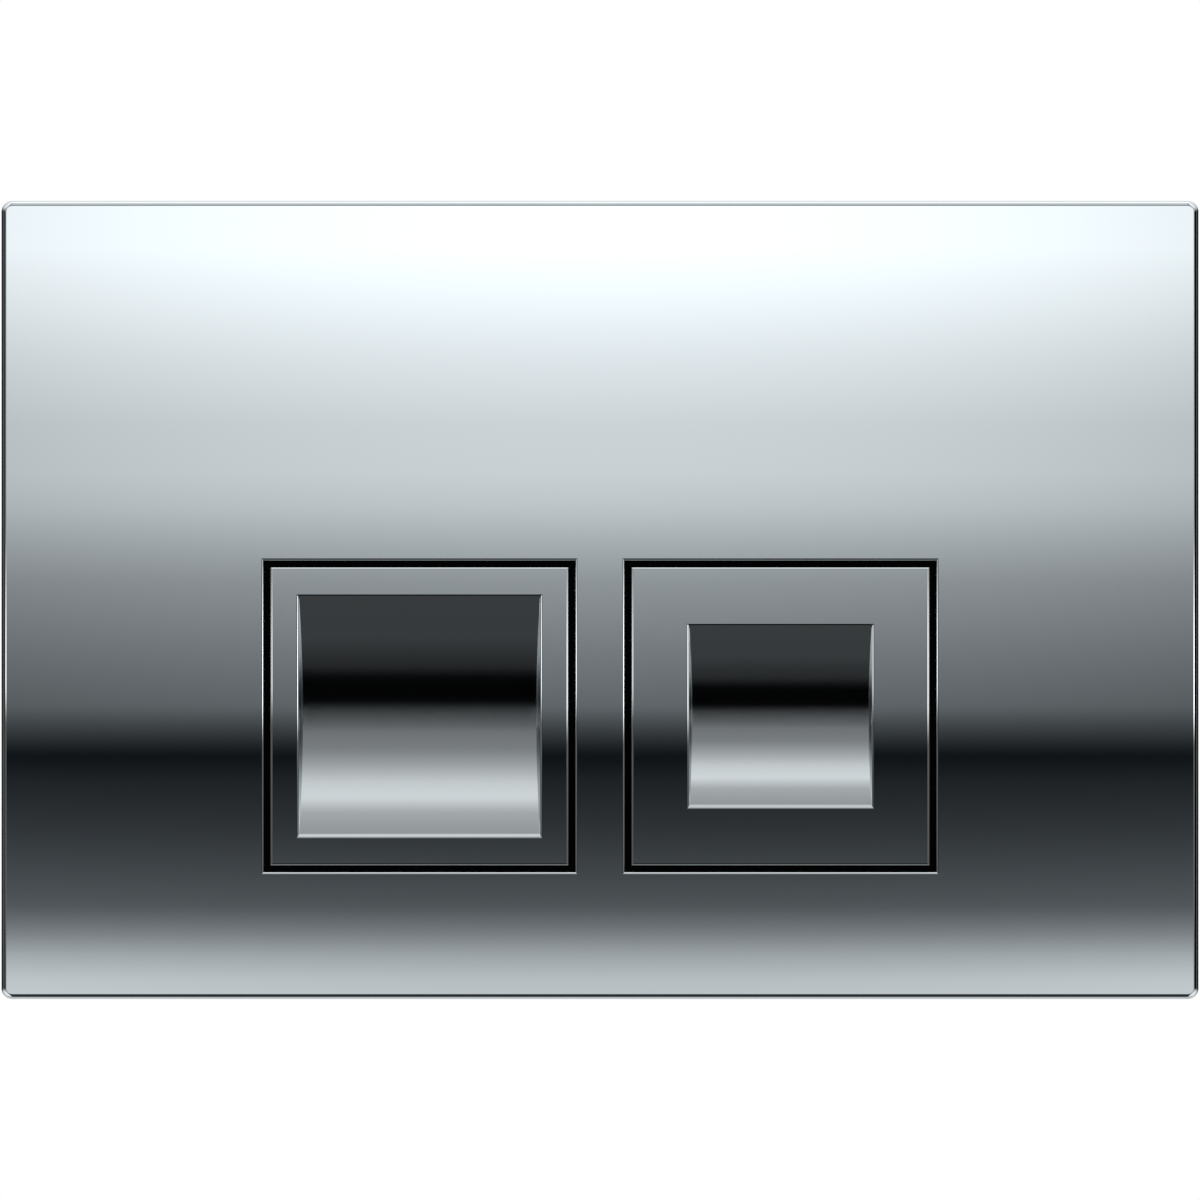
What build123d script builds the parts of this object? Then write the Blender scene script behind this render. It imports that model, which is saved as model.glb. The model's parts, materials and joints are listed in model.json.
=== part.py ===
from build123d import *
from math import radians, sqrt, tan
import os

os.makedirs("parts", exist_ok=True)

# A dual flush plate for a concealed cistern: a moulded cover with two dished buttons that swing on pins,
# the frame that it snaps on to, and the rods that carry each press back to the flush valve.
# Lengths are in millimetres and angles in degrees. The wall is the XZ plane and the plate faces -Y.
# A height is a distance in front of the wall, and a negative height lies behind it.

# Cover plate
plate_width = 246.0
plate_height = 164.0
plate_depth = 12.5
plate_face = 2.2
plate_rim = 2.0
plate_corner = 2.2
plate_edge = 1.0
rim_gap = 0.5

# Button openings
opening_size = 63.9
opening_bar = 10.3
opening_drop = 23.9
opening_edge = 0.5

# Buttons
button_gap = 1.25
button_edge = 0.5
button_face = 1.8
button_skirt = 1.6
button_depth = 8.0
full_dish_size = 49.6
full_dish_depth = 7.0
part_dish_size = 37.5
part_dish_depth = 5.3
dish_draft = 6.5
dish_edge = 0.9
dish_end_edge = 0.5
flange_reach = 4.2
flange_thickness = 1.5
press_angle = 6.0

# Stop pads
pad_width = 2.4
pad_length = 8.0
pad_height = 0.6
pad_gap = 0.1
pad_inset = 8.7

# Hinges
pin_diameter = 3.0
pin_clearance = 0.05
pin_end_gap = 0.15
hinge_rise = 5.5
hinge_wall = 1.65
arm_place = 18.5
arm_width = 4.0
ear_gap = 0.4
ear_width = 6.0
ear_flange_gap = 0.55
socket_depth = 4.0
socket_mouth = 2.6

# Return springs
spring_wire = 0.8
spring_clearance = 0.7
spring_turns = 2
spring_pitch = 0.95
spring_leg = 6.0
spring_arm_gap = 0.8
spring_seat_gap = 0.05
spring_seat_width = 3.0
spring_seat_start = 2.0

# Pushers, push rods and their caps and clips
pusher_width = 9.0
pusher_height = 9.0
pusher_reach = 1.5
pusher_crown = 9.0
rod_diameter = 6.0
rod_clearance = 0.05
rod_gap = 0.3
rod_tail = 50.0
cap_width = 14.0
cap_thickness = 5.0
cap_bore_depth = 3.5
clip_width = 10.0
clip_height = 10.0
clip_corner = 1.5
clip_thickness = 1.0
clip_gap = 0.3
rod_neck = 4.0
neck_clearance = 0.05

# Mounting frame
frame_thickness = 3.0
frame_side_gap = 8.0
frame_end_gap = 4.0
frame_corner = 6.0
frame_rail = 28.0
window_end_gap = 3.2
window_corner = 5.0
rib_thickness = 1.6
rib_height = 2.0
bridge_height = 14.0
bridge_thickness = 3.0
bridge_corner = 3.0
leg_thickness = 3.5
guide_width = 11.0
guide_length = 15.0
guide_nose = 1.0
stop_gap = 0.3

# Snap arms on the frame, and the ledges and posts of the plate that meet the frame
inside_room = 1.3
snap_place = 60.0
snap_width = 10.0
snap_thickness = 1.6
snap_inset = 1.0
snap_hook = 2.2
snap_nose = 2.0
snap_lead = 1.2
snap_overlap = 1.6
snap_gap = 0.3
ledge_margin = 3.0
ledge_thickness = 1.8
post_width = 7.0
post_place = 45.0
post_gap = 0.2

# Fixing studs and nuts
stud_diameter = 8.0
stud_reach = 65.0
stud_proud = 0.3
plug_diameter = 10.0
plug_length = 18.0
slot_length = 16.0
slot_clearance = 0.3
nut_clearance = 0.05
nut_width = 18.0

# Places that follow from the sizes above
inner_face = plate_depth - plate_face
rim_inside_x = plate_width / 2 - plate_rim
rim_inside_z = plate_height / 2 - plate_rim
button_size = opening_size - 2 * button_gap
button_x = (opening_size + opening_bar) / 2
button_z = -opening_drop
button_back = plate_depth - button_depth
flange_front = inner_face - pad_gap - pad_height
flange_back = flange_front - flange_thickness
pin_radius = pin_diameter / 2
eye_radius = pin_radius + pin_clearance + hinge_wall
coil_radius = pin_radius + spring_clearance + spring_wire / 2
spring_seat = spring_wire / 2 + spring_seat_gap
hinge_z = button_z + opening_size / 2 + hinge_rise
hinge_height = flange_back - spring_seat - coil_radius
ear_place = arm_place + arm_width / 2 + ear_gap
pin_half = ear_place + socket_depth - pin_end_gap
coil_place = arm_place - arm_width / 2 - spring_arm_gap - spring_turns * spring_pitch
flange_top = hinge_z - eye_radius - ear_flange_gap
flange_bottom = button_z - button_size / 2 - flange_reach
lever = hinge_z - button_z
rod_travel = lever * radians(press_angle)
cap_front = -pusher_reach - rod_gap
cap_back = cap_front - cap_thickness
guide_front = cap_back - rod_travel - stop_gap
guide_back = guide_front - guide_length
bridge_front = guide_front - guide_nose
bridge_back = bridge_front - bridge_thickness
clip_front = guide_back - clip_gap
rod_front = cap_front - cap_thickness + cap_bore_depth
rod_end = guide_back - rod_tail
frame_half_x = rim_inside_x - frame_side_gap
frame_half_z = rim_inside_z - frame_end_gap
window_half_x = frame_half_x - frame_rail
window_half_z = opening_drop + button_size / 2 + flange_reach + window_end_gap
stud_x = (frame_half_x + window_half_x) / 2
nut_front = inner_face - inside_room
snap_front = inner_face - inside_room
snap_face = frame_half_z - snap_inset
ledge_front = snap_front - snap_nose - snap_gap
ledge_edge = snap_face + snap_hook - snap_overlap
sides = (-1, 1)


def facing(height):
    """The plane parallel to the wall at this height, drawn as seen from the front."""
    return Plane.XZ.offset(height)


def across(x):
    """The plane across the plate at this x, drawn with Y to the right and Z up."""
    return Plane.YZ.offset(x)


def dish_radius(size, depth):
    """The radius of a dish whose floor curves from edge to edge of its size and is this deep."""
    return (size**2 / 4 + depth**2) / (2 * depth)


def drafted_ends(centre_x, size, near, far):
    """A block as tall as two dishes whose ends lean in from the front face, from a near to a far depth."""
    lean = tan(radians(dish_draft))
    with BuildPart() as block:
        with BuildSketch(Plane.XY.offset(button_z)):
            with BuildLine():
                Polyline(
                    (centre_x - size / 2 + near * lean, near - plate_depth),
                    (centre_x + size / 2 - near * lean, near - plate_depth),
                    (centre_x + size / 2 - far * lean, far - plate_depth),
                    (centre_x - size / 2 + far * lean, far - plate_depth),
                    close=True,
                )
            make_face()
        extrude(amount=size, both=True)
    return block.part


def eased_ends(centre_x, size, depth, lead):
    """A block as tall as two dishes whose ends lean in and are eased at the front face, which it leads past."""
    lean = depth * tan(radians(dish_draft))
    with BuildPart() as block:
        with BuildSketch(Plane.XY.offset(button_z)) as plan:
            with BuildLine():
                Polyline(
                    (centre_x - size / 2 - lead, -plate_depth - lead),
                    (centre_x - size / 2 - lead, -plate_depth),
                    (centre_x - size / 2, -plate_depth),
                    (centre_x - size / 2 + lean, depth - plate_depth),
                    (centre_x + size / 2 - lean, depth - plate_depth),
                    (centre_x + size / 2, -plate_depth),
                    (centre_x + size / 2 + lead, -plate_depth),
                    (centre_x + size / 2 + lead, -plate_depth - lead),
                    close=True,
                )
            make_face()
            brinks = plan.vertices().group_by(Axis.Y)[1].sort_by(Axis.X)[1:3]
            fillet(brinks, radius=dish_end_edge)
        extrude(amount=size, both=True)
    return block.part


def dish_hollow(centre_x, size, depth):
    """The hollow of a finger dish: a round trough with eased lips between two drafted ends."""
    lead = 2 * max(dish_edge, dish_end_edge)
    top = button_z + size / 2
    bottom = button_z - size / 2
    ends = eased_ends(centre_x, size, depth, lead)
    with BuildPart() as hollow:
        with BuildSketch(across(centre_x)) as section:
            with BuildLine():
                ThreePointArc((-plate_depth, top), (depth - plate_depth, button_z), (-plate_depth, bottom))
                Polyline(
                    (-plate_depth, bottom),
                    (-plate_depth, bottom - lead),
                    (-plate_depth - lead, bottom - lead),
                    (-plate_depth - lead, top + lead),
                    (-plate_depth, top + lead),
                    (-plate_depth, top),
                )
            make_face()
            lips = section.vertices().group_by(Axis.Y)[1:3]
            fillet([lip for pair in lips for lip in pair], radius=dish_edge)
        extrude(amount=size, both=True)
        add(ends, mode=Mode.INTERSECT)
    return hollow.part


def dish_back(centre_x, size, depth):
    """The back of a finger dish, which follows the hollow one wall behind it."""
    outside = size + 2 * button_face
    radius = dish_radius(size, depth)
    ends = drafted_ends(centre_x, outside, button_face / 2, depth + button_face)
    with BuildPart() as back:
        with BuildSketch(across(centre_x)):
            with Locations((depth - plate_depth - radius, button_z)):
                Circle(radius + button_face)
            with Locations((-plate_depth, button_z)):
                Rectangle(2 * (depth + button_face), outside, mode=Mode.INTERSECT)
        extrude(amount=outside, both=True)
        add(ends, mode=Mode.INTERSECT)
    return back.part


def make_button(centre_x, dish_size, dish_depth):
    """A moulded button: a dished face on a skirt, with a stop flange, two hinge arms and a pusher."""
    hollow = dish_hollow(centre_x, dish_size, dish_depth)
    back = dish_back(centre_x, dish_size, dish_depth)
    cavity = button_size - 2 * button_skirt
    flange_width = button_size + 2 * flange_reach
    with BuildPart() as button:
        with BuildSketch(facing(plate_depth)):
            with Locations((centre_x, button_z)):
                Rectangle(button_size, button_size)
        extrude(amount=-button_depth)
        # Stop flange behind the plate, all round
        with BuildSketch(facing(flange_back)):
            with Locations((centre_x, (flange_top + flange_bottom) / 2)):
                Rectangle(flange_width, flange_top - flange_bottom)
        extrude(amount=flange_thickness)
        with BuildSketch(facing(button_back)):
            with Locations((centre_x, button_z)):
                Rectangle(cavity, cavity)
        extrude(amount=button_depth - button_face, mode=Mode.SUBTRACT)
        # Dish, with its own wall behind it
        add(back)
        add(hollow, mode=Mode.SUBTRACT)
        rim = button.faces().sort_by(Axis.Y)[0]
        fillet(rim.outer_wire().edges(), radius=button_edge)
        # Pusher on the back of the dish, crowned so that it rolls on the rod's cap
        with BuildSketch(across(centre_x)):
            with BuildLine():
                root_y = dish_depth - plate_depth + button_face / 2
                shoulder_y = pusher_reach - pusher_crown + sqrt(pusher_crown**2 - pusher_height**2 / 4)
                top = button_z + pusher_height / 2
                bottom = button_z - pusher_height / 2
                Polyline((shoulder_y, top), (root_y, top), (root_y, bottom), (shoulder_y, bottom))
                ThreePointArc((shoulder_y, bottom), (pusher_reach, button_z), (shoulder_y, top))
            make_face()
        extrude(amount=pusher_width / 2, both=True)
        # Hinge arms, each with an eye for the pin
        for side in sides:
            with BuildSketch(across(centre_x + side * arm_place)):
                with Locations((-hinge_height, hinge_z)):
                    Circle(eye_radius)
                with Locations((-(flange_back + button_back) / 2, button_z + button_size / 2)):
                    Rectangle(flange_back - button_back, button_skirt)
                make_hull()
            extrude(amount=arm_width / 2, both=True)
        with BuildSketch(across(centre_x)):
            with Locations((-hinge_height, hinge_z)):
                Circle(pin_radius + pin_clearance)
        extrude(amount=arm_place + arm_width, both=True, mode=Mode.SUBTRACT)
    return button.part


def pad_places(centre_x):
    """Where a button's two stop pads sit: low down, halfway across the flange that lies behind the plate."""
    spread = (opening_size / 2 + button_size / 2 + flange_reach) / 2
    pad_z = button_z - button_size / 2 + pad_inset
    return [(centre_x + side * spread, pad_z) for side in sides]


def make_pad(place):
    """A rubber stop pad, stuck on the front of the flange."""
    with BuildPart() as pad:
        with BuildSketch(facing(flange_front)):
            with Locations(place):
                Rectangle(pad_width, pad_length)
        extrude(amount=pad_height)
    return pad.part


def make_pin(centre_x):
    """A hinge pin, held at both ends by the plate's ears."""
    with BuildPart() as pin:
        with BuildSketch(across(centre_x)):
            with Locations((-hinge_height, hinge_z)):
                Circle(pin_radius)
        extrude(amount=pin_half, both=True)
    return pin.part


def make_spring(centre_x):
    """A torsion spring round the pin, with one leg on the plate and the other on the button's flange."""
    coil = Plane((centre_x + coil_place, -hinge_height, hinge_z), x_dir=(0, -1, 0), z_dir=(1, 0, 0))
    turns = coil.location * Edge.make_helix(spring_pitch, spring_turns * spring_pitch, coil_radius)
    with BuildPart() as spring:
        with BuildLine() as wire:
            Line(turns @ 0 - (turns % 0) * spring_leg, turns @ 0)
            add(turns)
            Line(turns @ 1, turns @ 1 + (turns % 1) * spring_leg)
        # Six flats stand for the round wire, which keeps the coil light
        with BuildSketch(Plane(wire.wire() @ 0, z_dir=wire.wire() % 0)):
            RegularPolygon(spring_wire / 2, 6)
        sweep(path=wire.wire())
    return spring.part


def make_rod(centre_x):
    """A push rod with a square neck for its clip."""
    with BuildPart() as rod:
        with BuildSketch(facing(rod_front)):
            with Locations((centre_x, button_z)):
                Circle(rod_diameter / 2)
        extrude(amount=rod_end - rod_front)
        with BuildSketch(facing(clip_front + neck_clearance)):
            with Locations((centre_x, button_z)):
                Rectangle(2 * rod_diameter, 2 * rod_diameter)
                Rectangle(rod_neck, rod_neck, mode=Mode.SUBTRACT)
        extrude(amount=-clip_thickness - 2 * neck_clearance, mode=Mode.SUBTRACT)
    return rod.part


def make_cap(centre_x):
    """The hexagonal cap that screws on a rod's front end, which the button's pusher meets."""
    with BuildPart() as cap:
        with BuildSketch(facing(cap_front)):
            with Locations((centre_x, button_z)):
                RegularPolygon(cap_width / 2, 6, major_radius=False)
        extrude(amount=-cap_thickness)
        with BuildSketch(facing(cap_back)):
            with Locations((centre_x, button_z)):
                Circle(rod_diameter / 2 + rod_clearance)
        extrude(amount=cap_bore_depth, mode=Mode.SUBTRACT)
    return cap.part


def make_clip(centre_x):
    """A horseshoe clip, pushed down over the rod's square neck behind the guide."""
    with BuildPart() as clip:
        with BuildSketch(facing(clip_front)) as outline:
            with Locations((centre_x, button_z)):
                Rectangle(clip_width, clip_height)
            chamfer(outline.vertices(), length=clip_corner)
            with Locations((centre_x, button_z + rod_neck / 2 + neck_clearance)):
                mouth = rod_neck + 2 * neck_clearance
                Rectangle(mouth, 2 * clip_height, align=(Align.CENTER, Align.MAX), mode=Mode.SUBTRACT)
        extrude(amount=-clip_thickness)
    return clip.part


button_centres = [(side * button_x, button_z) for side in sides]
snap_centres = [(side * snap_place, end) for side in sides for end in sides]

# Cover plate, one shell with its edges rounded
with BuildPart() as front_plate:
    with BuildSketch(facing(plate_depth)):
        RectangleRounded(plate_width, plate_height, plate_corner)
    extrude(amount=-(plate_depth - rim_gap))
    with BuildSketch(facing(rim_gap)):
        Rectangle(2 * rim_inside_x, 2 * rim_inside_z)
    extrude(amount=inner_face - rim_gap, mode=Mode.SUBTRACT)
    with BuildSketch(facing(inner_face)):
        with Locations(*button_centres):
            Rectangle(opening_size, opening_size)
    extrude(amount=plate_face, mode=Mode.SUBTRACT)
    front = front_plate.faces().sort_by(Axis.Y)[0]
    fillet(front.outer_wire().edges(), radius=plate_edge)
    front = front_plate.faces().sort_by(Axis.Y)[0]
    fillet([edge for hole in front.inner_wires() for edge in hole.edges()], radius=opening_edge)
    # Ledges that the frame's snap arms hook over
    with BuildSketch(facing(ledge_front)):
        for snap_x, end in snap_centres:
            with Locations((snap_x, end * (ledge_edge + rim_inside_z) / 2)):
                Rectangle(snap_width + 2 * ledge_margin, rim_inside_z - ledge_edge)
    extrude(amount=-ledge_thickness)
    # Posts that rest on the frame
    with BuildSketch(facing(inner_face)):
        with GridLocations(2 * stud_x, 2 * post_place, 2, 2):
            Rectangle(post_width, post_width)
    extrude(amount=frame_thickness + post_gap - inner_face)
    # Hinge ears, with sockets that the pins snap into from behind
    for centre_x, _ in button_centres:
        for side in sides:
            ear_inside = centre_x + side * ear_place
            with BuildSketch(across(ear_inside)):
                with Locations((-hinge_height, hinge_z)):
                    Circle(eye_radius)
                with Locations((-(inner_face + hinge_height) / 2, hinge_z)):
                    Rectangle(inner_face - hinge_height, 2 * eye_radius)
            extrude(amount=side * ear_width)
            with BuildSketch(across(ear_inside)):
                with Locations((-hinge_height, hinge_z)):
                    Circle(pin_radius + pin_clearance)
                with Locations((-hinge_height + eye_radius / 2, hinge_z)):
                    Rectangle(eye_radius, socket_mouth)
            extrude(amount=side * socket_depth, mode=Mode.SUBTRACT)
        # Seat for the spring's upper leg
        with BuildSketch(facing(inner_face)):
            with Locations((centre_x + coil_place, hinge_z + spring_seat_start)):
                Rectangle(spring_seat_width, spring_leg, align=(Align.CENTER, Align.MIN))
        extrude(amount=hinge_height + coil_radius + spring_seat - inner_face)

# Mounting frame: a flat ring on the wall with a bridge behind it that guides the push rods
with BuildPart() as mounting_frame:
    with BuildSketch(facing(0)):
        RectangleRounded(2 * frame_half_x, 2 * frame_half_z, frame_corner)
        RectangleRounded(2 * window_half_x, 2 * window_half_z, window_corner, mode=Mode.SUBTRACT)
        for side in sides:
            with Locations((side * stud_x, 0)):
                SlotOverall(slot_length, stud_diameter + 2 * slot_clearance, mode=Mode.SUBTRACT)
    extrude(amount=frame_thickness)
    # Stiffening ribs along the window's edges
    with BuildSketch(facing(frame_thickness)):
        for side in sides:
            with Locations((0, side * (window_half_z + rib_thickness / 2))):
                Rectangle(2 * (window_half_x - window_corner), rib_thickness)
            with Locations((side * (window_half_x + rib_thickness / 2), 0)):
                Rectangle(rib_thickness, 2 * (window_half_z - window_corner))
    extrude(amount=rib_height)
    # Bridge with its two legs, folded back from the sides of the window
    with BuildSketch(Plane.XY.offset(button_z)):
        with BuildLine():
            FilletPolyline(
                (-window_half_x, -frame_thickness),
                (-window_half_x, -bridge_back),
                (window_half_x, -bridge_back),
                (window_half_x, -frame_thickness),
                radius=bridge_corner + leg_thickness,
            )
            FilletPolyline(
                (leg_thickness - window_half_x, -frame_thickness),
                (leg_thickness - window_half_x, -bridge_front),
                (window_half_x - leg_thickness, -bridge_front),
                (window_half_x - leg_thickness, -frame_thickness),
                radius=bridge_corner,
            )
            for side in sides:
                Line(
                    (side * window_half_x, -frame_thickness),
                    (side * (window_half_x - leg_thickness), -frame_thickness),
                )
        make_face()
    extrude(amount=bridge_height / 2, both=True)
    # Guide blocks for the push rods
    with BuildSketch(facing(guide_front)):
        with Locations(*button_centres):
            Rectangle(guide_width, guide_width)
    extrude(amount=-guide_length)
    with BuildSketch(facing(guide_front)):
        with Locations(*button_centres):
            Circle(rod_diameter / 2 + rod_clearance)
    extrude(amount=-guide_length, mode=Mode.SUBTRACT)
    # Snap arms at the top and bottom
    for snap_x, end in snap_centres:
        with BuildSketch(across(snap_x)):
            with BuildLine():
                Polyline(
                    (-frame_thickness, end * (snap_face - snap_thickness)),
                    (-snap_front, end * (snap_face - snap_thickness)),
                    (-snap_front, end * (snap_face + snap_hook - snap_lead)),
                    (-snap_front + snap_lead, end * (snap_face + snap_hook)),
                    (-snap_front + snap_nose, end * (snap_face + snap_hook)),
                    (-snap_front + snap_nose, end * snap_face),
                    (-frame_thickness, end * snap_face),
                    close=True,
                )
            make_face()
        extrude(amount=snap_width / 2, both=True)

# Fixing studs, two alike: a shank through the frame with a thicker plug that screws into the cistern
with BuildPart() as fixing_studs:
    for side in sides:
        with BuildSketch(facing(nut_front + stud_proud)):
            with Locations((side * stud_x, 0)):
                Circle(stud_diameter / 2)
        extrude(amount=-(nut_front + stud_proud + stud_reach))
        with BuildSketch(facing(plug_length - stud_reach)):
            with Locations((side * stud_x, 0)):
                Circle(plug_diameter / 2)
        extrude(amount=-plug_length)

# Hexagon nuts that clamp the frame on the studs, two alike
with BuildPart() as fixing_nuts:
    with BuildSketch(facing(frame_thickness)):
        for side in sides:
            with Locations((side * stud_x, 0)):
                RegularPolygon(nut_width / 2, 6, major_radius=False)
                Circle(stud_diameter / 2 + nut_clearance, mode=Mode.SUBTRACT)
    extrude(amount=nut_front - frame_thickness)

pieces = {
    "front_plate": front_plate.part,
    "mounting_frame": mounting_frame.part,
    "fixing_studs": fixing_studs.part,
    "fixing_nuts": fixing_nuts.part,
}

# Each button with its hinge, spring, pads and rod
flush_buttons = (
    ("full_flush", -button_x, full_dish_size, full_dish_depth),
    ("part_flush", button_x, part_dish_size, part_dish_depth),
)
for flush, centre_x, dish_size, dish_depth in flush_buttons:
    pad_left, pad_right = pad_places(centre_x)
    pieces[f"{flush}_button"] = make_button(centre_x, dish_size, dish_depth)
    pieces[f"{flush}_stop_pad_left"] = make_pad(pad_left)
    pieces[f"{flush}_stop_pad_right"] = make_pad(pad_right)
    pieces[f"{flush}_hinge_pin"] = make_pin(centre_x)
    pieces[f"{flush}_return_spring"] = make_spring(centre_x)
    pieces[f"{flush}_push_rod"] = make_rod(centre_x)
    pieces[f"{flush}_rod_cap"] = make_cap(centre_x)
    pieces[f"{flush}_rod_clip"] = make_clip(centre_x)

for name, piece in pieces.items():
    piece.label = name
    export_step(piece, f"parts/{name}.step")
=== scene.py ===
"""Flush button plate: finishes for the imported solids, wire springs, screw threads and the studio."""

from __future__ import annotations

import json
import logging
import math
from collections.abc import Iterator, Sequence
from contextlib import contextmanager
from dataclasses import dataclass
from enum import Enum

import bmesh
import bpy
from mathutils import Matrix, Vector

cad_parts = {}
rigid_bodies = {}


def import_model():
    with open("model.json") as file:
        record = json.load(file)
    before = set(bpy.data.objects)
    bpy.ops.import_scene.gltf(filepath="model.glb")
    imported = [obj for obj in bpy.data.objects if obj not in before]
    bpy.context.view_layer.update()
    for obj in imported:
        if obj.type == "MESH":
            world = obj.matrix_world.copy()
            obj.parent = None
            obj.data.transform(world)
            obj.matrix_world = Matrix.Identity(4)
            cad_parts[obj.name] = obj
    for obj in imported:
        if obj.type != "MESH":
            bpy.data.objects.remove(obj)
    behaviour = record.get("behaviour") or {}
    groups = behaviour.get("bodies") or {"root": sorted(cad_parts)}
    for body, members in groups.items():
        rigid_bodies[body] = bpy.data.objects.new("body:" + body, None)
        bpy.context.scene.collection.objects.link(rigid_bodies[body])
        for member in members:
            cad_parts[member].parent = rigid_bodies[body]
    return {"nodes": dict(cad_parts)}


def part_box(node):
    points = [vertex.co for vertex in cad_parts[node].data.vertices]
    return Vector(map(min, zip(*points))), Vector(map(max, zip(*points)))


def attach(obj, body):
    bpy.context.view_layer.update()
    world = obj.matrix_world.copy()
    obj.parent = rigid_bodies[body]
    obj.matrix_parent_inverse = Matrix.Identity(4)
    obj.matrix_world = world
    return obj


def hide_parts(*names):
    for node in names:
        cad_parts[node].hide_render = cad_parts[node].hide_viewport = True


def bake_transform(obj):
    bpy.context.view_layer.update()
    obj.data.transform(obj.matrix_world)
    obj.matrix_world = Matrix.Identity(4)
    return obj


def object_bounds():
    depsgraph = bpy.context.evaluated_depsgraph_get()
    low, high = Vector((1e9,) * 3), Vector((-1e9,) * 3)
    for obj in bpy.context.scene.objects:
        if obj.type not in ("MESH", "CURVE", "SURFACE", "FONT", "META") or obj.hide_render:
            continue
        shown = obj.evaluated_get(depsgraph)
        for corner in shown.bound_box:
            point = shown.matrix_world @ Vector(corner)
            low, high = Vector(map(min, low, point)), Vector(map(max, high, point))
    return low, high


for leftover in list(bpy.data.objects):
    bpy.data.objects.remove(leftover)
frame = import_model()
CAD_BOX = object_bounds()

LOG = logging.getLogger("flush_plate")
MM = 0.001
DISPLAY_GAMMA = 2.2
FULL_LEVEL = 255.0
COOL_CAST = (-2.5, 0.0, 2.5)
FAINT_CAST = (-1.2, 0.0, 1.0)
WHITE = (1.0, 1.0, 1.0, 1.0)
FINE_GRAIN = 4000.0
BROAD_MOTTLE = 60.0
WELD = 0.002 * MM

Colour = tuple[float, float, float]
Point = tuple[float, float, float]
Socket = bpy.types.NodeSocket
Feed = float | Sequence[float] | Socket


class Slot(Enum):
    """The record's material slots, apart from the chrome's, whose solids are dressed in place."""

    FRAME = "frame_plastic"
    STUD = "stud_plastic"
    ROD = "rod_plastic"
    CAP = "cap_plastic"
    STEEL = "steel"
    RUBBER = "rubber"


class Body(Enum):
    """The bodies that pieces ride on."""

    PLATE = "plate"
    FULL_LEVER = "full_flush_lever"
    PART_LEVER = "part_flush_lever"
    FULL_PLUNGER = "full_flush_plunger"
    PART_PLUNGER = "part_flush_plunger"


@dataclass(frozen=True)
class Tone:
    """A grey at one place along a studio gradient.

    Attributes:
        place: Height in millimetres or angle in degrees.
        level: The grey that the plating shows there, from 0 to 255.
    """

    place: float
    level: float


@dataclass(frozen=True)
class Ramp:
    """A smooth change from one number to another.

    Attributes:
        start: Where the change starts.
        end: Where it ends.
        low: The result before the start.
        high: The result after the end.
    """

    start: float
    end: float
    low: float = 0.0
    high: float = 1.0


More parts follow.
